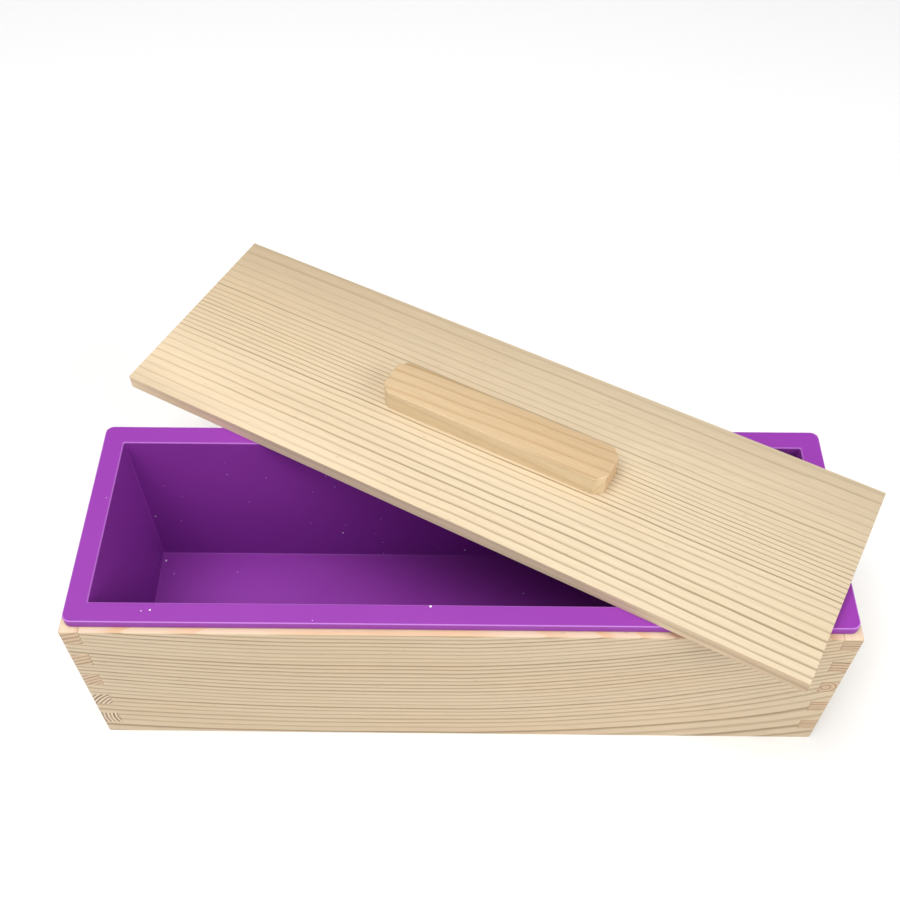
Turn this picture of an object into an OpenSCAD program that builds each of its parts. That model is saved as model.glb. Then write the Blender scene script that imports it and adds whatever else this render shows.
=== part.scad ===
// Loaf mould for soap: a finger-jointed pine box, a silicone liner that hangs in
// it by its flange, and a loose lid with a wooden grip.
// The origin is the centre of the box's underside, with +Z up, +X along the box's
// length and -Y towards the front board. The lid lies askew on the flange.

/* [Box] */
// Outside length of the box
box_length = 280; // [200:1:340]
// Outside width of the box
box_width = 91; // [80:1:120]
// Height of the box
box_height = 80; // [60:1:100]
// Thickness of the front, back and end boards
board = 7; // [6:0.5:9]
// Fingers up each corner, those of both boards together
finger_count = 10; // [6:2:14]
// Thickness of the bottom panel
panel_thick = 5; // [3:0.5:6]
// How far the panel is let into the boards
rabbet = 3; // [2:0.5:4]

/* [Liner] */
// Thickness of the flange that lies on the box's rim
flange_thick = 4; // [2:0.5:5]
// Width of the flange, from its outer edge to the opening
flange_width = 8; // [8:0.1:9]
// Gap from the flange's outer edge to the box's ends
flange_inset_end = 1.5; // [1:0.1:1.5]
// Gap from the flange's outer edge to the box's front and back
flange_inset_side = 2.2; // [1.5:0.1:2.5]
// Corner radius of the flange
flange_corner = 3; // [1:0.5:7]
// Thickness of the liner's walls
liner_wall = 2.2; // [1.5:0.1:2.2]
// Thickness of the liner's floor
liner_floor = 3.2; // [2:0.1:5]
// Draft of the liner's end walls, in degrees
draft_end = 0.95; // [0:0.05:2]
// Draft of the liner's long walls, in degrees
draft_side = 1.35; // [0:0.05:2]
// Gap between the liner's base and the bottom panel
base_gap = 0.3; // [0.2:0.1:2]

/* [Lid] */
// Length of the lid board
lid_length = 280; // [200:1:340]
// Width of the lid board
lid_width = 88; // [70:1:120]
// Thickness of the lid board
lid_thick = 6; // [5:0.5:9]
// How far the lid is turned from square, in degrees
lid_turn = -28; // [-40:1:0]
// Place of the lid's centre along the box
lid_shift_x = 12; // [-20:1:20]
// Place of the lid's centre towards the back board
lid_shift_y = 37; // [0:1:38]

/* [Grip] */
// Length of the grip
grip_length = 94; // [70:1:120]
// Width of the grip
grip_width = 17; // [12:0.5:24]
// Height of the grip above the lid
grip_height = 9.5; // [9:0.5:16]
// Size of the corner cuts at the grip's ends
grip_corner = 3.3; // [1:0.1:5]
// How far the grip stands off the lid's centre, along the lid
grip_offset = 2; // [-5:0.5:5]
// Distance between the grip's two screws
screw_spacing = 56; // [30:1:60]

/* [Screws] */
// Diameter of the screws' thread
screw_diameter = 3; // [2.5:0.1:3.5]
// Length of the screws, head included
screw_length = 12; // [10:0.5:13]
// Diameter of the countersunk heads
head_diameter = 6; // [5.5:0.1:6.5]

/* [Hidden] */

$fn = 64;
// Overshoot of a cut past the face it opens
cut = 1;
finger_height = box_height / finger_count;
inner_length = box_length - 2 * board;
inner_width = box_width - 2 * board;

flange_length = box_length - 2 * flange_inset_end;
flange_depth = box_width - 2 * flange_inset_side;
flange_top = box_height + flange_thick;
opening_length = flange_length - 2 * flange_width;
opening_width = flange_depth - 2 * flange_width;
liner_base = panel_thick + base_gap;
cavity_floor = liner_base + liner_floor;

lid_base = flange_top;
lid_top = lid_base + lid_thick;
// The heads stand a little below the lid's underside, clear of the flange
head_sink = 0.3;
head_height = (head_diameter - screw_diameter) / 2;
// Clearance round a screw in the lid, and bite of its thread in the grip
screw_clearance = 0.2;
thread_bite = 0.2;
tip_height = 2;
recess_width = 0.9;
recess_depth = 0.9;

pine = [0.90, 0.78, 0.58];
pine_end = [0.85, 0.70, 0.50];
grip_pine = [0.89, 0.75, 0.52];
plywood = [0.86, 0.76, 0.60];
silicone = [0.55, 0.18, 0.66];
steel = [0.72, 0.72, 0.74];

// Slots through both ends of a board that runs along X, at every second level
module finger_slots(length, first_level) {
    for (level = [first_level:2:finger_count - 1], end = [-1, 1])
        translate([end * (length / 2 - board / 2 + cut / 2), 0, (level + 0.5) * finger_height])
            cube([board + cut, board + 2 * cut, finger_height], center = true);
}

// The space of the bottom panel
module panel_space() {
    translate([0, 0, panel_thick / 2])
        cube([inner_length + 2 * rabbet, inner_width + 2 * rabbet, panel_thick], center = true);
}

// A board on edge along X with slots at both ends, centred on the Z axis
module slotted_board(length, first_level) {
    difference() {
        translate([0, 0, box_height / 2])
            cube([length, board, box_height], center = true);
        finger_slots(length, first_level);
    }
}

// A front or back board: its fingers start at the bottom
module long_board(side) {
    difference() {
        translate([0, side * (box_width - board) / 2, 0])
            slotted_board(box_length, 1);
        panel_space();
    }
}

// An end board: its fingers fill the slots of the long boards
module end_board(side) {
    difference() {
        translate([side * (box_length - board) / 2, 0, 0])
            rotate([0, 0, 90])
                slotted_board(box_width, 0);
        panel_space();
    }
}

module front_wall() {
    color(pine) long_board(-1);
}

module back_wall() {
    color(pine) long_board(1);
}

module left_end() {
    color(pine_end) end_board(-1);
}

module right_end() {
    color(pine_end) end_board(1);
}

module bottom_panel() {
    color(plywood) panel_space();
}

// Width of a wall pair at height z, for a width given at the flange's top
function drafted(width, draft, z) = width - 2 * (flange_top - z) * tan(draft);

// A trapezium on edge, as wide at each height as the draft leaves it
module drafted_profile(width, draft, low, high, length) {
    rotate([90, 0, 0])
        linear_extrude(height = length, center = true)
            polygon([
                [-drafted(width, draft, low) / 2, low],
                [drafted(width, draft, low) / 2, low],
                [drafted(width, draft, high) / 2, high],
                [-drafted(width, draft, high) / 2, high]
            ]);
}

// A block with drafted ends and sides between two heights
module drafted_block(length, width, low, high) {
    intersection() {
        drafted_profile(length, draft_end, low, high, width + 2 * cut);
        rotate([0, 0, 90])
            drafted_profile(width, draft_side, low, high, length + 2 * cut);
    }
}

// A flat plate with rounded corners
module rounded_plate(length, width, radius, thick) {
    linear_extrude(height = thick) {
        square([length - 2 * radius, width], center = true);
        square([length, width - 2 * radius], center = true);
        for (x = [-1, 1], y = [-1, 1])
            translate([x * (length / 2 - radius), y * (width / 2 - radius)])
                circle(r = radius);
    }
}

module liner() {
    color(silicone)
        difference() {
            union() {
                translate([0, 0, box_height])
                    rounded_plate(flange_length, flange_depth, flange_corner, flange_thick);
                drafted_block(opening_length + 2 * liner_wall, opening_width + 2 * liner_wall,
                    liner_base, box_height + flange_thick / 2);
            }
            drafted_block(opening_length, opening_width, cavity_floor, flange_top + cut);
        }
}

// Puts a piece that is drawn square and centred where the lid lies
module on_lid() {
    translate([lid_shift_x, lid_shift_y, 0])
        rotate([0, 0, lid_turn])
            children();
}

// Both screw places, under the grip
module at_screws() {
    for (end = [-1, 1])
        translate([grip_offset + end * screw_spacing / 2, 0, lid_base])
            children();
}

// The countersunk hole through the lid, with the head's sink below the cone
module lid_screw_hole() {
    hole_radius = screw_diameter / 2 + screw_clearance;
    head_radius = head_diameter / 2 + screw_clearance;
    translate([0, 0, -cut])
        cylinder(r = head_radius, h = cut + head_sink);
    translate([0, 0, head_sink])
        cylinder(r1 = head_radius, r2 = hole_radius, h = head_height);
    cylinder(r = hole_radius, h = lid_thick + cut);
}

// The pilot hole in the grip, a little tighter than the thread
module pilot_hole() {
    translate([0, 0, lid_thick - cut])
        cylinder(r = screw_diameter / 2 - thread_bite, h = screw_length + head_sink - lid_thick + cut);
}

module grip_screw() {
    difference() {
        union() {
            translate([0, 0, head_sink])
                cylinder(d1 = head_diameter, d2 = screw_diameter, h = head_height);
            translate([0, 0, head_sink])
                cylinder(d = screw_diameter, h = screw_length - tip_height);
            translate([0, 0, head_sink + screw_length - tip_height])
                cylinder(d1 = screw_diameter, d2 = screw_diameter / 5, h = tip_height);
        }
        for (turn = [0, 90])
            rotate([0, 0, turn])
                translate([0, 0, head_sink])
                    cube([head_diameter * 0.6, recess_width, 2 * recess_depth], center = true);
    }
}

module lid_board() {
    color(pine)
        on_lid()
            difference() {
                translate([0, 0, lid_base + lid_thick / 2])
                    cube([lid_length, lid_width, lid_thick], center = true);
                at_screws() lid_screw_hole();
            }
}

// The grip's outline: a rectangle with its four corners cut
module grip_outline() {
    x = grip_length / 2;
    y = grip_width / 2;
    c = grip_corner;
    polygon([
        [c - x, -y], [x - c, -y], [x, c - y], [x, y - c],
        [x - c, y], [c - x, y], [-x, y - c], [-x, c - y]
    ]);
}

module lid_grip() {
    color(grip_pine)
        on_lid()
            difference() {
                translate([grip_offset, 0, lid_top])
                    linear_extrude(height = grip_height)
                        grip_outline();
                at_screws() pilot_hole();
            }
}

module grip_screws() {
    color(steel)
        on_lid()
            at_screws() grip_screw();
}

front_wall();
back_wall();
left_end();
right_end();
bottom_panel();
liner();
lid_board();
lid_grip();
grip_screws();
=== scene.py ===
"""A soap loaf mould: finger-jointed pine box, purple silicone liner and a loose pine lid."""

import math

import bmesh
import bpy
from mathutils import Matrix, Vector, noise


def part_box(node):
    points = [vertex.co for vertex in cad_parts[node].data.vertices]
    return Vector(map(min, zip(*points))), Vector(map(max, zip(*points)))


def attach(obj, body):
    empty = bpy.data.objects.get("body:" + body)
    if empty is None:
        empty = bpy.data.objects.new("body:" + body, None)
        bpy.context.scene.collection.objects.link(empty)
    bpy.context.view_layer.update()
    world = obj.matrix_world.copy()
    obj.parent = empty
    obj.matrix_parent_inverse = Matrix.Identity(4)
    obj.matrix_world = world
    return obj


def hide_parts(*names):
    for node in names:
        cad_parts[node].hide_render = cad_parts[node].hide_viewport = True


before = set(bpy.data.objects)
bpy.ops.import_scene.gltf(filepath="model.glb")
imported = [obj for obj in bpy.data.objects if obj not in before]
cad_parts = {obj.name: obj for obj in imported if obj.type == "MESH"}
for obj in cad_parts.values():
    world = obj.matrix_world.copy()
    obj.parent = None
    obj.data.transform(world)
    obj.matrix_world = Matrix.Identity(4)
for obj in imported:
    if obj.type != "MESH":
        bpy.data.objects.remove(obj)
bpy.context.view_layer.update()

MM = 0.001

# Boxes of the CAD nodes
LINER_LOW, LINER_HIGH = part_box("liner")
FRONT_LOW, FRONT_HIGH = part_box("front_wall")
LEFT_LOW, LEFT_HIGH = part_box("left_end")
PANEL_LOW, PANEL_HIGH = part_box("bottom_panel")
LID_LOW, LID_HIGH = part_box("lid_board")
GRIP_LOW, GRIP_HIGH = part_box("lid_grip")
RIM = FRONT_HIGH.z

# The lid's turn and sizes in the CAD that the boxes above don't give
LID_TURN = math.radians(-28)
LID_LENGTH = 280 * MM
LID_WIDTH = 88 * MM
FLANGE_WIDTH = 8.0 * MM
FLANGE_CORNER = 3.0 * MM
LINER_WALL = 2.2 * MM
LINER_FLOOR = 3.2 * MM
DRAFT_END = math.radians(0.95)
DRAFT_SIDE = math.radians(1.35)

# Widths of the arrises of the box's boards, the lid and the grip
BOARD_ARRIS = 0.55 * MM
FOOT_ARRIS = 0.25 * MM
JOINT_ARRIS = 0.13 * MM
PANEL_ARRIS = 0.2 * MM
LID_ARRIS = 0.35 * MM
LID_UPRIGHT_ARRIS = 0.5 * MM
LID_KNOCKED_CORNER = 1.5 * MM
GRIP_ARRIS = 0.4 * MM
GRIP_UPRIGHT_ARRIS = 1.0 * MM
GRIP_FOOT_ARRIS = 0.15 * MM
SCREW_ARRIS = 0.06 * MM

# Two places closer than this are the same
SAME_PLACE = 0.1 * MM

# Camera: 47 mm lens, looking down on the box from the front
CAMERA_AIM = Vector((-0.0044, 0.0330, 0.084))
CAMERA_AZIMUTH = math.radians(0.616)
CAMERA_ELEVATION = math.radians(52.39)
CAMERA_DISTANCE = 0.4546
CAMERA_LENS = 47.3

FLOOR_HALF = 3.0
WORLD_STRENGTH = 0.30

scene = bpy.context.scene


# ---------------------------------------------------------------- node trees

class Tree:
    """A material's node tree, built by small calls that return sockets."""

    def __init__(self, name):
        self.material = bpy.data.materials.new(name)
        self.material.use_nodes = True
        self.tree = self.material.node_tree
        self.tree.nodes.clear()
        self.shader = self.add("ShaderNodeBsdfPrincipled")
        output = self.add("ShaderNodeOutputMaterial")
        self.tree.links.new(self.shader.outputs[0], output.inputs["Surface"])
        self.point = self.add("ShaderNodeTexCoord").outputs["Object"]

    def add(self, kind, **settings):
        node = self.tree.nodes.new(kind)
        for key, value in settings.items():
            setattr(node, key, value)
        return node

    def feed(self, socket, value):
        if isinstance(value, bpy.types.NodeSocket):
            self.tree.links.new(value, socket)
        else:
            socket.default_value = value

    def math(self, operation, *values, clamp=False):
        node = self.add("ShaderNodeMath", operation=operation, use_clamp=clamp)
        for socket, value in zip(node.inputs, values):
            self.feed(socket, value)
        return node.outputs[0]

    def scale(self, vector, factor):
        node = self.add("ShaderNodeVectorMath", operation="SCALE")
        self.feed(node.inputs[0], vector)
        node.inputs["Scale"].default_value = factor
        return node.outputs[0]

    def vector(self, operation, *values):
        node = self.add("ShaderNodeVectorMath", operation=operation)
        for socket, value in zip(node.inputs, values):
            self.feed(socket, value)
        return node.outputs["Value" if operation in ("DOT_PRODUCT", "LENGTH") else "Vector"]

    def combine(self, x, y, z):
        node = self.add("ShaderNodeCombineXYZ")
        for socket, value in zip(node.inputs, (x, y, z)):
            self.feed(socket, value)
        return node.outputs[0]

    def noise(self, point, detail=2.0, roughness=0.5):
        """Noise with cells one unit across, from 0 to 1 about 0.5."""
        node = self.add("ShaderNodeTexNoise")
        self.feed(node.inputs["Vector"], point)
        node.inputs["Scale"].default_value = 1.0
        node.inputs["Detail"].default_value = detail
        node.inputs["Roughness"].default_value = roughness
        return node.outputs[0]

    def random(self, value):
        """From 0 to 1, the same for the same value."""
        node = self.add("ShaderNodeTexWhiteNoise", noise_dimensions="1D")
        self.feed(node.inputs["W"], value)
        return node.outputs["Value"]

    def step(self, value, low, high, smooth=True):
        """From 0 at low to 1 at high."""
        node = self.add("ShaderNodeMapRange")
        node.interpolation_type = "SMOOTHSTEP" if smooth else "LINEAR"
        self.feed(node.inputs["Value"], value)
        self.feed(node.inputs["From Min"], low)
        self.feed(node.inputs["From Max"], high)
        return node.outputs[0]

    def range(self, value, low, high):
        """From low where value is 0 to high where it is 1."""
        return self.math("MULTIPLY_ADD", value, high - low, low)

    def mix(self, factor, a, b, blend="MIX"):
        node = self.add("ShaderNodeMix", data_type="RGBA", blend_type=blend)
        self.feed(node.inputs[0], factor)
        for socket, value in ((node.inputs[6], a), (node.inputs[7], b)):
            if isinstance(value, tuple):
                value = (*value, 1.0)
            self.feed(socket, value)
        return node.outputs[2]

    def bump(self, height, depth, strength):
        """A relief of that depth in metres."""
        node = self.add("ShaderNodeBump")
        node.inputs["Strength"].default_value = strength
        node.inputs["Distance"].default_value = depth
        self.feed(node.inputs["Height"], height)
        self.feed(self.shader.inputs["Normal"], node.outputs[0])


# ---------------------------------------------------------------- pine

# Half the length of the long boards and of the lid, in mm
HALF_LENGTH = 140.0
# Shares of a growth ring: where its latewood ends, and how softly it starts
LATE_END = 0.94
LATE_SOFT = 0.14
# Tint of plain end grain
PLAIN_END = (0.96, 0.88, 0.84)
# Spreads the seeds over the noise
SEED_SPREAD = 7.31


def tinted(colour, tint):
    """The colour times the tint, channel by channel."""
    return tuple(c * k for c, k in zip(colour, tint))


class BoardSpace:
    """A board's own places, in mm from its centre: u along the grain, v across the face, w through it."""

    def __init__(self, tree, centre, along, across, seed):
        self.tree = tree
        self.seed = seed
        through = Vector(along).cross(Vector(across))
        self.local = tree.vector("SUBTRACT", tree.point, tuple(centre))
        axes = [tuple(Vector(axis) / MM) for axis in (along, across, through)]
        self.u, self.v, self.w = (tree.vector("DOT_PRODUCT", self.local, axis) for axis in axes)

    def noise(self, length, width, offset, **settings):
        """Noise with cells that long along the grain and that wide across it, in mm."""
        t = self.tree
        shift = self.seed * SEED_SPREAD + offset
        point = t.combine(
            t.math("MULTIPLY_ADD", self.u, 1 / length, shift),
            t.math("MULTIPLY_ADD", self.v, 1 / width, shift),
            t.math("MULTIPLY_ADD", self.w, 1 / width, shift),
        )
        return t.noise(point, **settings)

    def resin_ducts(self, length=13.0, width=3.2):
        """Short dark flecks, one in each cell of that size, from 0 to 1."""
        t = self.tree
        ducts = t.add("ShaderNodeTexVoronoi", feature="F1")
        ducts.inputs["Scale"].default_value = 1.0
        point = t.combine(
            t.math("MULTIPLY_ADD", self.u, 1 / length, self.seed),
            t.math("MULTIPLY", self.v, 1 / width),
            t.math("MULTIPLY", self.w, 1 / width),
        )
        t.feed(ducts.inputs["Vector"], point)
        return t.step(ducts.outputs["Distance"], 0.10, 0.04)


def distance_from_pith(t, board, pith, wander, bow, slant):
    """Distance in mm from the pith, bent by slow noise, so that the lines wander."""
    slow = t.math("SUBTRACT", board.noise(210, 60, 1.0, detail=1.5), 0.5)
    small = t.math("SUBTRACT", board.noise(45, 12, 2.0, detail=2.0), 0.5)
    left_end = t.math("POWER", t.step(board.u, -50.0, -HALF_LENGTH, smooth=False), 1.8)
    right_end = t.math("POWER", t.step(board.u, 0.0, HALF_LENGTH, smooth=False), 1.6)
    lift = t.math("MULTIPLY_ADD", left_end, bow[0], t.math("MULTIPLY", right_end, bow[1]))
    # Less lift on the -across half, but enough there to keep the rings from spreading
    lift = t.math("MULTIPLY", lift, t.range(t.step(board.v, -40.0, 0.0, smooth=False), 0.55, 1.0))
    lift = t.math("MULTIPLY_ADD", board.u, slant, lift)
    across = t.math("SUBTRACT", t.math("SUBTRACT", board.v, pith[0]), lift)
    through = t.math("SUBTRACT", board.w, pith[1])
    squares = t.math("ADD", t.math("MULTIPLY", across, across), t.math("MULTIPLY", through, through))
    distance = t.math("MULTIPLY_ADD", slow, wander * 4, t.math("SQRT", squares))
    return t.math("MULTIPLY_ADD", small, 1.1, distance)


def rings_by_distance(t, distance, widths):
    """Growth rings counted outwards from the pith. widths is a list of (distance, ring width), in mm."""
    total = widths[-1][0]
    counts = [0.0]
    for (r0, w0), (r1, w1) in zip(widths, widths[1:]):
        counts.append(counts[-1] + (r1 - r0) / ((w0 + w1) / 2))
    node = t.add("ShaderNodeFloatCurve")
    curve = node.mapping.curves[0]
    curve.points[0].location = (0, 0)
    curve.points[1].location = (1, 1)
    for (r, _), count in zip(widths[1:-1], counts[1:-1]):
        curve.points.new(r / total, count / counts[-1])
    node.mapping.update()
    t.feed(node.inputs["Value"], t.math("DIVIDE", distance, total))
    return t.math("MULTIPLY", node.outputs[0], counts[-1])


def latewood_in(t, phase, seed, late_share, end_share):
    """How dark the latewood is on the faces and on end grain. Each year has its own strength and width."""
    year = t.math("FLOOR", phase)
    part = t.math("FRACT", phase)
    strength = t.range(t.random(t.math("ADD", year, seed)), 0.50, 1.08)
    share = t.range(t.random(t.math("ADD", year, seed + 40)), late_share * 0.7, late_share * 1.3)
    start = t.math("SUBTRACT", LATE_END, share)
    full = t.math("MULTIPLY_ADD", share, 0.7, start)
    rise = t.step(part, t.math("SUBTRACT", start, LATE_SOFT), full)
    fall = t.step(part, 1.0, LATE_END)
    on_face = t.math("MULTIPLY", t.math("MULTIPLY", rise, fall), strength)
    if end_share is None:
        return on_face, None
    end_rise = t.step(part, 0.86 - end_share, 1.04 - end_share)
    return on_face, t.math("MULTIPLY", t.math("MULTIPLY", end_rise, fall), strength)


def pine(name, centre, along, across, *, pith, widths, early, late, seed,
         contrast=1.0, late_share=0.24, wander=1.5, bow=(0.0, 0.0), slant=0.0, faint_core=None,
         blotch=0.35, tone=(0.0, 0.0), side_tone=0.0, top_tints=None,
         end_rings=(0.6, 0.6), end_fade=(-40.0, 40.0), end_share=None, end_tints=(PLAIN_END, PLAIN_END)):
    """Pine cut from a log: rings round the pith, at pith (across, through) in mm from the board's centre.

    along and across are the board's own directions, and widths is as in rings_by_distance.
    wander bends the rings by that many mm along the board, slant tilts them in the board's face, and
    bow lifts them towards its -along and +along ends, most on its +across half.
    late_share is how much of a ring is latewood, and contrast its strength on the sides. faint_core is
    the distances from the pith between which the inner, faint lines grow strong.
    blotch is the strength of the warm patches. tone darkens the board towards its -along end and its
    +across side. side_tone darkens all but the face that looks up, towards the +along end. top_tints
    are the early and the late wood on the face that looks up, as shares of the early colour; they are
    painted light, which makes the top lighter or darker than the sides as the light falls on it.
    On end grain, end_rings is the rings' strength and end_tints the wood's tint at the two places
    end_fade across the board, and end_share is how much of each ring is dark, if not as elsewhere.
    """
    t = Tree(name)
    board = BoardSpace(t, centre, along, across, seed)
    distance = distance_from_pith(t, board, pith, wander, bow, slant)
    phase = rings_by_distance(t, distance, widths)
    latewood, end_latewood = latewood_in(t, phase, seed, late_share, end_share)
    if faint_core:
        latewood = t.math("MULTIPLY", latewood, t.range(t.step(distance, *faint_core), 0.40, 1.0))

    # Fibres and slow shifts of colour
    fibre = board.noise(13, 0.55, 3.0, detail=4.0, roughness=0.65)
    streak = board.noise(60, 1.6, 4.0, detail=2.0)
    patch = board.noise(90, 28, 5.0, detail=2.0)
    latewood = t.math("MULTIPLY", latewood, t.range(streak, 0.50, 1.50), clamp=True)
    warm_patch = t.math("MULTIPLY", t.step(patch, 0.42, 0.68), blotch)
    body = t.mix(warm_patch, early, tinted(early, (0.98, 0.92, 0.86)))
    darker = t.math("MULTIPLY", t.step(board.u, 90.0, -150.0), tone[0])
    darker = t.math("MULTIPLY_ADD", t.step(board.v, -30.0, 50.0), tone[1], darker)
    body = t.mix(darker, body, tinted(early, (0.86, 0.78, 0.70)))

    colour = t.mix(t.math("MULTIPLY", latewood, contrast), body, late)
    normal = t.add("ShaderNodeTexCoord").outputs["Normal"]
    if side_tone:
        # The sides darken towards the +along end, to a latewood-streaked brown.
        side_darkening = t.math("MULTIPLY", t.step(board.u, -20.0, HALF_LENGTH), side_tone)
        side_dark_wood = t.mix(latewood, tinted(late, (1.08, 1.08, 1.08)), tinted(late, (0.70, 0.70, 0.70)))
        colour = t.mix(side_darkening, colour, side_dark_wood)
    if top_tints:
        # Painted light: the face that looks up gets its own tints, lighter or darker than the sides as light
        # falls on it.
        upward = t.step(t.vector("DOT_PRODUCT", normal, (0.0, 0.0, 1.0)), 0.6, 0.95)
        painted_light_top_body = t.mix(1.0, body, top_tints[0], "MULTIPLY")
        colour = t.mix(upward, colour, t.mix(latewood, painted_light_top_body, tinted(early, top_tints[1])))
    shade = t.math("MULTIPLY", t.range(fibre, 0.84, 1.14), t.range(streak, 0.94, 1.06))
    colour = t.mix(1.0, colour, t.combine(shade, shade, shade), "MULTIPLY")
    duct = t.math("MULTIPLY", board.resin_ducts(), 0.25)
    colour = t.mix(duct, colour, tinted(late, (0.5, 0.5, 0.5)))

    # End grain drinks light: it is darker, and its rings are stronger
    facing = t.math("ABSOLUTE", t.vector("DOT_PRODUCT", normal, tuple(along)))
    is_end = t.step(facing, 0.74, 0.92)
    pores = t.noise(t.vector("MULTIPLY", board.local, (1 / (0.22 * MM),) * 3))
    speckle = t.range(pores, 0.88, 1.10)
    end_place = t.step(board.v, *end_fade)
    end_colour = t.mix(1.0, colour, t.mix(end_place, *end_tints), "MULTIPLY")
    end_dark = end_latewood if end_latewood else latewood
    rings = t.math("MULTIPLY", end_dark, t.range(end_place, *end_rings), clamp=True)
    end_colour = t.mix(rings, end_colour, tinted(late, (0.45, 0.45, 0.45)))
    end_colour = t.mix(1.0, end_colour, t.combine(speckle, speckle, speckle), "MULTIPLY")

    t.feed(t.shader.inputs["Base Color"], t.mix(is_end, colour, end_colour))
    t.feed(t.shader.inputs["Roughness"], t.range(fibre, 0.52, 0.74))
    t.shader.inputs["Specular IOR Level"].default_value = 0.32
    relief = t.math("MULTIPLY_ADD", latewood, 0.8, t.math("MULTIPLY", fibre, 0.6))
    t.bump(relief, 0.06 * MM, 0.6)
    return t.material


# ---------------------------------------------------------------- other materials

def dust_specks(t, place, cell, radius, chance, offset):
    """Round specks of that radius in mm, one in that share of the cells, which are that many mm wide."""
    cells = t.add("ShaderNodeTexVoronoi", feature="F1")
    cells.inputs["Scale"].default_value = 1.0
    t.feed(cells.inputs["Vector"], t.vector("ADD", t.scale(place, 1 / cell), (offset, offset, offset)))
    pick = t.add("ShaderNodeSeparateColor")
    t.feed(pick.inputs[0], cells.outputs["Color"])
    chosen = t.math("LESS_THAN", pick.outputs[0], chance)
    edge = radius / cell
    return t.math("MULTIPLY", chosen, t.step(cells.outputs["Distance"], edge, edge * 0.75))


def silicone():
    """Satin purple silicone with dust on it. Its thin arrises are painted a paler lilac: a painted highlight.
    """
    t = Tree("purple_silicone")
    place = t.scale(t.point, 1 / MM)
    cloud = t.noise(t.scale(place, 1 / 38), detail=3.0)
    fine = t.noise(t.scale(place, 1 / 0.5), detail=2.0)
    body = t.mix(cloud, (0.272, 0.036, 0.365), (0.297, 0.044, 0.395))
    # Painted highlight: the arrises marked on the liner are mixed towards a pale lilac.
    arris = t.add("ShaderNodeAttribute", attribute_name="arris").outputs["Fac"]
    body = t.mix(t.math("MULTIPLY", arris, 0.70), body, (0.58, 0.25, 0.70))
    large = dust_specks(t, place, cell=6.5, radius=0.50, chance=0.10, offset=3.7)
    small = dust_specks(t, place, cell=3.0, radius=0.24, chance=0.14, offset=9.1)
    dust = t.math("MULTIPLY", t.math("MAXIMUM", large, small), 0.9)
    t.feed(t.shader.inputs["Base Color"], t.mix(dust, body, (0.92, 0.84, 0.93)))
    t.feed(t.shader.inputs["Roughness"], t.math("MULTIPLY_ADD", dust, 0.4, t.range(cloud, 0.38, 0.48)))
    t.shader.inputs["Specular IOR Level"].default_value = 0.35
    t.shader.inputs["IOR"].default_value = 1.42
    t.bump(t.math("ADD", fine, t.math("MULTIPLY", dust, 2.0)), 0.02 * MM, 0.5)
    return t.material


def steel():
    """Turned steel, with fine marks round it."""
    t = Tree("screw_steel")
    turn = t.noise(t.vector("MULTIPLY", t.point, (1400.0, 1400.0, 5200.0)), detail=3.0)
    t.feed(t.shader.inputs["Base Color"], t.mix(turn, (0.52, 0.52, 0.53), (0.70, 0.69, 0.66)))
    t.shader.inputs["Metallic"].default_value = 1.0
    t.feed(t.shader.inputs["Roughness"], t.range(turn, 0.26, 0.42))
    t.bump(turn, 0.01 * MM, 0.4)
    return t.material


def paper_floor():
    """Plain pale paper."""
    t = Tree("studio_floor")
    grain = t.noise(t.vector("MULTIPLY", t.point, (300.0, 300.0, 300.0)))
    shade = t.range(grain, 0.94, 0.96)
    t.feed(t.shader.inputs["Base Color"], t.combine(shade, shade, shade))
    t.shader.inputs["Roughness"].default_value = 0.9
    t.shader.inputs["Specular IOR Level"].default_value = 0.1
    return t.material


# ---------------------------------------------------------------- wooden pieces

def on_plane(face, axis, places):
    """True if the face is square to that axis and lies at one of those places."""
    if abs(face.normal[axis]) < 0.99:
        return False
    return any(abs(face.calc_center_median()[axis] - place) < SAME_PLACE / 2 for place in places)


def is_upright(edge):
    return abs(edge.verts[0].co.z - edge.verts[1].co.z) > 1 * MM


def is_below(edge, z):
    return max(vert.co.z for vert in edge.verts) < z


def worked_copy(node, body, material, width_of, widest, segments=3):
    """A piece with the CAD node's exact shape and worked arrises: width_of(edge) gives each one's width."""
    mesh = bpy.data.meshes.new(node + "_worked")
    bm = bmesh.new()
    bm.from_mesh(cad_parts[node].data)
    bmesh.ops.remove_doubles(bm, verts=bm.verts, dist=0.001 * MM)
    bmesh.ops.dissolve_limit(bm, angle_limit=math.radians(1), verts=bm.verts, edges=bm.edges)
    bmesh.ops.recalc_face_normals(bm, faces=bm.faces)
    weights = bm.edges.layers.float.new("bevel_weight_edge")
    for edge in bm.edges:
        if len(edge.link_faces) == 2 and edge.calc_face_angle() > math.radians(20):
            edge[weights] = min(1.0, width_of(edge) / widest)
    for face in bm.faces:
        face.smooth = True
    bm.to_mesh(mesh)
    bm.free()
    piece = bpy.data.objects.new(node + "_piece", mesh)
    scene.collection.objects.link(piece)
    piece.data.materials.append(material)
    bevel = piece.modifiers.new("arris", "BEVEL")
    bevel.limit_method = "WEIGHT"
    bevel.width = widest
    bevel.segments = segments
    bevel.harden_normals = True
    bevel.use_clamp_overlap = True
    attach(piece, body)
    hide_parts(node)
    return piece


def board_arris(is_exposed):
    """Arris widths of a box board: sanded where two open faces meet, a hairline at each joint."""
    def width_of(edge):
        exposed = [is_exposed(face) for face in edge.link_faces]
        if all(exposed):
            return FOOT_ARRIS if is_below(edge, SAME_PLACE) else BOARD_ARRIS
        return JOINT_ARRIS if any(exposed) else 0.0
    return width_of


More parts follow.
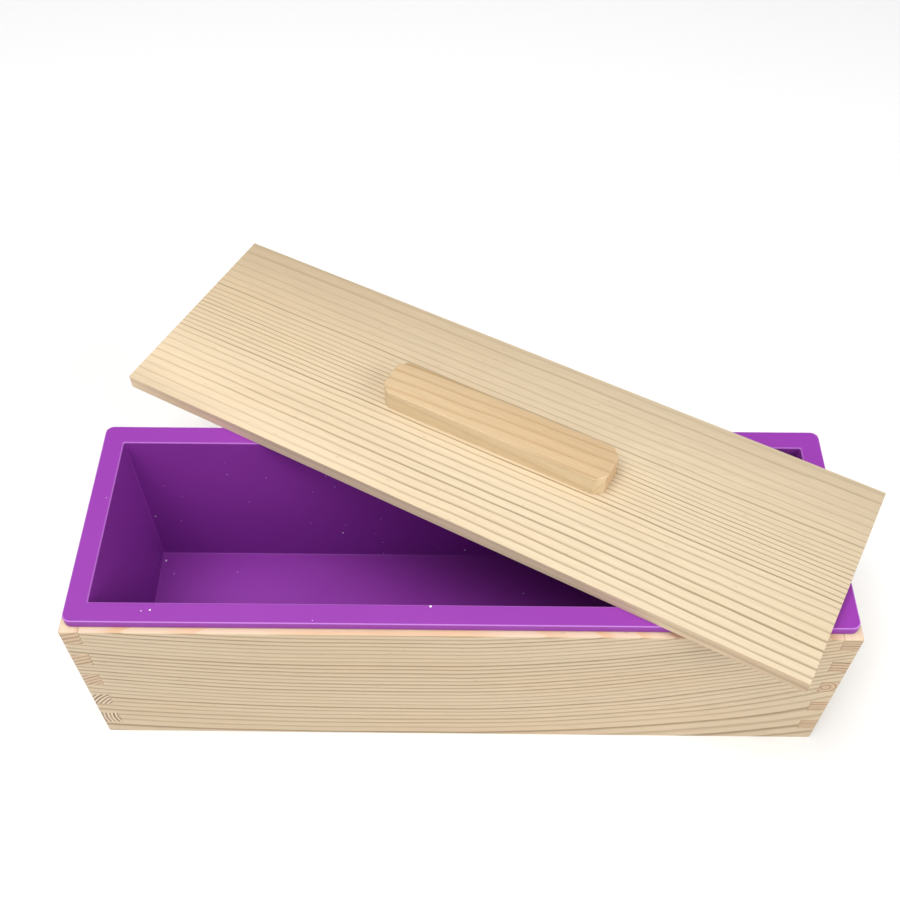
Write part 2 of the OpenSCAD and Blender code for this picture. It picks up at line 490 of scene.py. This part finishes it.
def box_boards():
    """The four boards, each cut from its own piece of the log."""
    outer_x, outer_y = LEFT_LOW.x, FRONT_LOW.y
    inner_x, inner_y = LEFT_HIGH.x, FRONT_HIGH.y

    def open_on_long(face):
        return (on_plane(face, 1, (outer_y, inner_y, -outer_y, -inner_y))
                or on_plane(face, 0, (outer_x, -outer_x)) or on_plane(face, 2, (0.0, RIM)))

    def open_on_end(face):
        return (on_plane(face, 0, (outer_x, inner_x, -outer_x, -inner_x))
                or on_plane(face, 1, (outer_y, -outer_y)) or on_plane(face, 2, (0.0, RIM)))

    cream = (0.632, 0.503, 0.344)
    tan = (0.352, 0.251, 0.151)
    # The rim is pinker than the planed faces; it is also painted paler and its latewood orange, a painted
    # highlight for the strong light on its top
    rim_highlight_tints = ((1.18, 1.14, 1.17), (1.14, 0.92, 0.76))
    front_y = (FRONT_LOW.y + FRONT_HIGH.y) / 2
    left_x = (LEFT_LOW.x + LEFT_HIGH.x) / 2
    middle = RIM / 2
    long_way, end_way, up = (1, 0, 0), (0, 1, 0), (0, 0, 1)
    front_rings = [(0, 3.0), (60, 4.8), (72, 3.5), (80, 2.8), (110, 2.6), (150, 2.9), (260, 3.2)]
    front = pine("pine_front", (0, front_y, middle), long_way, up,
                 pith=(-96, -30), widths=front_rings, early=cream, late=tan, seed=3.0,
                 late_share=0.32, wander=1.2, bow=(9.0, 32.0), top_tints=rim_highlight_tints)
    back = pine("pine_back", (0, -front_y, middle), long_way, up,
                pith=(-34, -52), widths=[(0, 2.4), (70, 3.9), (120, 3.0), (260, 4.6)],
                early=cream, late=tan, seed=11.0,
                late_share=0.32, wander=2.2, bow=(-12.0, 8.0), top_tints=rim_highlight_tints)
    left = pine("pine_left", (left_x, 0, middle), end_way, up,
                pith=(-27, 19), widths=[(0, 1.2), (22, 1.25), (50, 2.3), (110, 2.8), (260, 3.0)],
                early=cream, late=tan, seed=5.0, wander=0.8, top_tints=rim_highlight_tints,
                end_rings=(1.1, 0.25), end_fade=(-10.0, 2.0), end_share=0.42,
                end_tints=((1.14, 1.12, 1.16), (0.98, 0.90, 0.88)))
    right = pine("pine_right", (-left_x, 0, middle), end_way, up,
                 pith=(4, -1), widths=[(0, 1.6), (14, 2.2), (24, 1.6), (34, 1.3), (110, 2.4), (260, 3.0)],
                 early=cream, late=tan, seed=8.0, wander=0.5, top_tints=rim_highlight_tints,
                 end_rings=(0.25, 1.3), end_fade=(8.0, 34.0))
    for node, material in (("front_wall", front), ("back_wall", back)):
        worked_copy(node, "box", material, board_arris(open_on_long), BOARD_ARRIS)
    for node, material in (("left_end", left), ("right_end", right)):
        worked_copy(node, "box", material, board_arris(open_on_end), BOARD_ARRIS)


def bottom():
    """The panel is flush with the boards from below, with a hairline round it."""
    thick = PANEL_HIGH.z - PANEL_LOW.z
    material = pine("plywood_face", (0, 0, thick / 2), (1, 0, 0), (0, 1, 0),
                    pith=(-20, -160), widths=[(0, 3.0), (120, 3.0), (260, 3.0)],
                    early=(0.70, 0.55, 0.36), late=(0.48, 0.32, 0.18), seed=17.0, contrast=0.5, wander=6.0)
    worked_copy("bottom_panel", "box", material, lambda edge: PANEL_ARRIS, PANEL_ARRIS)


def lid_directions():
    """Along the lid and across it, in the turn in which it lies."""
    along = (math.cos(LID_TURN), math.sin(LID_TURN), 0)
    across = (-math.sin(LID_TURN), math.cos(LID_TURN), 0)
    return along, across


def lid_board():
    """The lid board: strong straight grain, planed, with lightly broken arrises and one knocked corner."""
    along, across = lid_directions()
    centre = (LID_LOW + LID_HIGH) / 2
    rings = [(0, 3.0), (62, 3.2), (71, 1.9), (90, 1.75), (97, 2.6), (105, 3.6), (260, 3.8)]
    # Painted light: early is paler than the lid's own top, to light its edges, and the top's tints bring the
    # top back down to its own colour.
    material = pine("pine_lid", centre, along, across,
                    pith=(73.8, 46), widths=rings, early=(0.900, 0.740, 0.520), late=(0.430, 0.300, 0.185),
                    seed=2.0, contrast=0.35, late_share=0.17, wander=0.9, faint_core=(64.0, 78.0),
                    tone=(0.40, 0.20), side_tone=0.75,
                    top_tints=((0.772, 0.770, 0.755), (0.378, 0.344, 0.288)))
    near_left = centre - Vector(along) * LID_LENGTH / 2 - Vector(across) * LID_WIDTH / 2

    def width_of(edge):
        if not is_upright(edge):
            return LID_ARRIS
        middle = (edge.verts[0].co + edge.verts[1].co) / 2
        knocked = (middle - near_left).xy.length < 2 * MM
        return LID_KNOCKED_CORNER if knocked else LID_UPRIGHT_ARRIS

    worked_copy("lid_board", "lid", material, width_of, LID_KNOCKED_CORNER, segments=4)


def lid_grip():
    """The grip: a warmer piece of pine, sanded rounder at its cut corners."""
    along, across = lid_directions()
    # Painted light: the top is tinted darker than the sides, so the grip's front face shows lighter, as if
    # lit from the front.
    material = pine("pine_grip", (GRIP_LOW + GRIP_HIGH) / 2, along, across,
                    pith=(34, -30), widths=[(0, 3.2), (40, 3.4), (46, 2.6), (50, 4.0), (120, 4.4)],
                    early=(0.79, 0.625, 0.400), late=(0.54, 0.375, 0.205), seed=13.0,
                    contrast=0.4, late_share=0.22, wander=1.2, slant=0.045, blotch=0.5,
                    top_tints=((0.775, 0.710, 0.650), (0.61, 0.50, 0.38)), end_rings=(0.2, 0.2))

    def width_of(edge):
        if is_below(edge, GRIP_LOW.z + SAME_PLACE):
            return GRIP_FOOT_ARRIS
        return GRIP_UPRIGHT_ARRIS if is_upright(edge) else GRIP_ARRIS

    worked_copy("lid_grip", "lid", material, width_of, GRIP_UPRIGHT_ARRIS, segments=4)


def grip_screws():
    """The screws keep their CAD shape, in steel, with broken arrises."""
    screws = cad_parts["grip_screws"]
    screws.data.materials.clear()
    screws.data.materials.append(steel())
    bevel = screws.modifiers.new("arris", "BEVEL")
    bevel.width = SCREW_ARRIS
    bevel.segments = 2


# ---------------------------------------------------------------- liner

CORNER_STEPS = 6
SIDE_STEPS = 56
END_STEPS = 18

# Roundings of the liner's section
BASE_ROUND = 1.6 * MM
FLANGE_LOW_ROUND = 0.6 * MM
FLANGE_TOP_ROUND = 0.4 * MM
LIP_ROUND = 0.5 * MM
CREASE_ROUND = 0.5 * MM

# Corners of the liner from above: on its flat faces, round its outer walls and in the cavity
FLAT_CORNER = 2.0 * MM
WALL_CORNER = 2.6 * MM
CAVITY_CORNER = 0.6 * MM

# How far the silicone's long walls and end walls may stand in, and its flange dip
SWAY_SIDE = 0.55 * MM
SWAY_END = 0.30 * MM
SWAY_FLANGE = 0.10 * MM


def plan_loop(half_x, half_y, radius, z):
    """A rounded rectangle at height z: always the same number of points, anticlockwise."""
    corners = ((1, 1, 0), (-1, 1, 90), (-1, -1, 180), (1, -1, 270))
    arcs = []
    for sx, sy, start in corners:
        centre = Vector((sx * (half_x - radius), sy * (half_y - radius), z))
        angles = [math.radians(start + 90 * step / CORNER_STEPS) for step in range(CORNER_STEPS + 1)]
        arcs.append([centre + radius * Vector((math.cos(angle), math.sin(angle), 0)) for angle in angles])
    points = []
    for index, arc in enumerate(arcs):
        points += arc
        following = arcs[(index + 1) % 4][0]
        count = SIDE_STEPS if index % 2 == 0 else END_STEPS
        points += [arc[-1].lerp(following, step / count) for step in range(1, count)]
    return points


def liner_loops():
    """The liner's section, followed from under the base, over the flange and down to the cavity's floor.

    Each loop comes with its mark for the painted highlight on the arrises, from 0 to 1.
    """
    top, base = LINER_HIGH.z, LINER_LOW.z
    floor = base + LINER_FLOOR
    open_x, open_y = LINER_HIGH.x - FLANGE_WIDTH, LINER_HIGH.y - FLANGE_WIDTH

    def inner(z):
        return open_x - (top - z) * math.tan(DRAFT_END), open_y - (top - z) * math.tan(DRAFT_SIDE)

    def outer(z):
        x, y = inner(z)
        return x + LINER_WALL, y + LINER_WALL

    loops = []

    def add(size, inset, radius, z, arris=0.0):
        loops.append((plan_loop(size[0] - inset, size[1] - inset, radius, z), arris))

    def arc(size_at, radius, corner, z0, turn0, turn1, steps, inwards, arris=0.0):
        """Points round an edge. Angle 0 is outwards and 90 is up; z0 is the arc's centre height."""
        for step in range(steps + 1):
            angle = math.radians(turn0 + (turn1 - turn0) * step / steps)
            z = z0 + radius * math.sin(angle)
            add(size_at(z), inwards - radius * math.cos(angle), corner, z, arris if 0 < step < steps else 0.0)

    edge = (LINER_HIGH.x, LINER_HIGH.y)
    for share in (0.86, 0.4, 0.06):
        add(outer(base), share * (outer(base)[1] - 4 * MM), FLAT_CORNER, base)
    arc(outer, BASE_ROUND, WALL_CORNER, base + BASE_ROUND, -90, 0, 4, BASE_ROUND)
    wall_low = base + BASE_ROUND
    for share in (0.2, 0.4, 0.6, 0.8, 1.0):
        z = wall_low + share * (RIM - wall_low)
        add(outer(z), 0, WALL_CORNER, z)
    add(edge, 2 * FLANGE_LOW_ROUND, FLANGE_CORNER - FLANGE_LOW_ROUND, RIM)
    arc(lambda z: edge, FLANGE_LOW_ROUND, FLANGE_CORNER, RIM + FLANGE_LOW_ROUND, -90, 0, 3, FLANGE_LOW_ROUND)
    # The flange's outer top arris carries the full painted highlight.
    arc(lambda z: edge, FLANGE_TOP_ROUND, FLANGE_CORNER, top - FLANGE_TOP_ROUND, 0, 90, 5, FLANGE_TOP_ROUND,
        arris=1.0)
    add(edge, 0.45 * FLANGE_WIDTH, FLAT_CORNER, top)

    # The lip at the opening, rounded over from the flange's top into the wall
    for step in range(5):
        angle = math.radians(90 * step / 4)
        z = top - LIP_ROUND * (1 - math.cos(angle))
        # The lip carries a lighter painted highlight.
        lip_highlight = 0.6 if 0 < step < 4 else 0.0
        add(inner(z), -LIP_ROUND * (1 - math.sin(angle)), CAVITY_CORNER, z, lip_highlight)
    wall_high = top - LIP_ROUND
    for share in (0.08, 0.25, 0.45, 0.65, 0.85):
        z = wall_high - share * (wall_high - floor - CREASE_ROUND)
        add(inner(z), 0, CAVITY_CORNER, z)
    for step in range(5):
        angle = math.radians(90 * step / 4)
        z = floor + CREASE_ROUND * (1 - math.sin(angle))
        add(inner(z), CREASE_ROUND * (1 - math.cos(angle)), CAVITY_CORNER, z)
    for share in (0.06, 0.4, 0.86):
        add(inner(floor), CREASE_ROUND + share * (inner(floor)[1] - 5 * MM), CAVITY_CORNER, floor)
    return loops


def sway(point):
    """Moulded silicone is never quite true: its walls stand in a little and its flange dips a little."""
    x, y, z = point
    share = (z - LINER_LOW.z) / (LINER_HIGH.z - LINER_LOW.z)
    push = 0.5 + 0.5 * noise.noise(Vector((x / 0.055, y / 0.055, z / 0.09)))
    bow = math.sin(math.pi * min(1.0, max(0.0, share))) * 0.8 + 0.25
    on_side = min(1.0, abs(y) / (0.7 * LINER_HIGH.y)) ** 3
    on_end = min(1.0, abs(x) / (0.9 * LINER_HIGH.x)) ** 9
    off_corner_y = math.cos(0.5 * math.pi * x / LINER_HIGH.x)
    off_corner_x = 1.0 - min(1.0, abs(y) / LINER_HIGH.y) ** 6
    moved = Vector(point)
    moved.y -= math.copysign(SWAY_SIDE * push * bow * on_side * off_corner_y, y)
    moved.x -= math.copysign(SWAY_END * push * bow * on_end * off_corner_x, x)
    if z > RIM + 2 * MM:
        moved.z -= SWAY_FLANGE * (0.5 + 0.5 * noise.noise(Vector((x / 0.04, y / 0.04, 5.0))))
    return moved


def liner():
    """The liner as one closed skin, with its outer arris and its lip marked for the material's painted
    highlight.
    """
    bm = bmesh.new()
    highlight_mark = bm.verts.layers.float.new("arris")
    rows = []
    for loop, arris in liner_loops():
        rows.append([bm.verts.new(sway(point)) for point in loop])
        for vert in rows[-1]:
            vert[highlight_mark] = arris
    count = len(rows[0])
    bm.faces.new(list(reversed(rows[0])))
    for low, high in zip(rows, rows[1:]):
        for i in range(count):
            j = (i + 1) % count
            bm.faces.new((low[i], low[j], high[j], high[i]))
    bm.faces.new(rows[-1])
    bmesh.ops.recalc_face_normals(bm, faces=bm.faces)
    for face in bm.faces:
        face.smooth = True
    mesh = bpy.data.meshes.new("liner_skin")
    bm.to_mesh(mesh)
    bm.free()
    piece = bpy.data.objects.new("liner_skin", mesh)
    scene.collection.objects.link(piece)
    piece.data.materials.append(silicone())
    piece.modifiers.new("flats", "WEIGHTED_NORMAL").keep_sharp = True
    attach(piece, "liner")
    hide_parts("liner")


# ---------------------------------------------------------------- studio

def camera():
    """The camera, at its distance and direction from the place it aims at."""
    data = bpy.data.cameras.new("camera")
    data.lens = CAMERA_LENS
    data.sensor_width = 36.0
    data.clip_start = 0.01
    data.clip_end = 20.0
    obj = bpy.data.objects.new("camera", data)
    level = math.cos(CAMERA_ELEVATION)
    across, towards = math.sin(CAMERA_AZIMUTH) * level, math.cos(CAMERA_AZIMUTH) * level
    back = Vector((across, -towards, math.sin(CAMERA_ELEVATION)))
    obj.location = CAMERA_AIM + back * CAMERA_DISTANCE
    obj.rotation_euler = (-back).to_track_quat("-Z", "Y").to_euler()
    scene.collection.objects.link(obj)
    scene.camera = obj


def softbox(name, place, aim, size, power):
    """A square light of that size in metres and power in watts."""
    data = bpy.data.lights.new(name, "AREA")
    data.shape = "SQUARE"
    data.size = size
    data.energy = power
    obj = bpy.data.objects.new(name, data)
    obj.location = place
    obj.rotation_euler = (Vector(aim) - Vector(place)).to_track_quat("-Z", "Y").to_euler()
    scene.collection.objects.link(obj)


def studio():
    """A pale floor and soft light from above, from the front and from the right."""
    half = FLOOR_HALF
    corners = [(-half, -half, 0), (half, -half, 0), (half, half, 0), (-half, half, 0)]
    mesh = bpy.data.meshes.new("floor")
    mesh.from_pydata(corners, [], [(0, 1, 2, 3)])
    floor = bpy.data.objects.new("floor", mesh)
    floor.data.materials.append(paper_floor())
    scene.collection.objects.link(floor)

    world = bpy.data.worlds.new("studio")
    world.use_nodes = True
    background = world.node_tree.nodes["Background"]
    background.inputs["Color"].default_value = (1.0, 1.0, 1.0, 1.0)
    background.inputs["Strength"].default_value = WORLD_STRENGTH
    scene.world = world
    softbox("overhead", (-0.30, -0.12, 1.40), (0, 0, 0), 0.95, 15.8)
    softbox("front", (-0.50, -1.20, 0.90), (0, 0, 0.05), 0.9, 4.8)
    softbox("right", (1.05, -0.62, 0.85), (0, 0, 0.05), 0.8, 9.0)
    scene.view_settings.view_transform = "Standard"


camera()
box_boards()
bottom()
liner()
lid_board()
lid_grip()
grip_screws()
studio()
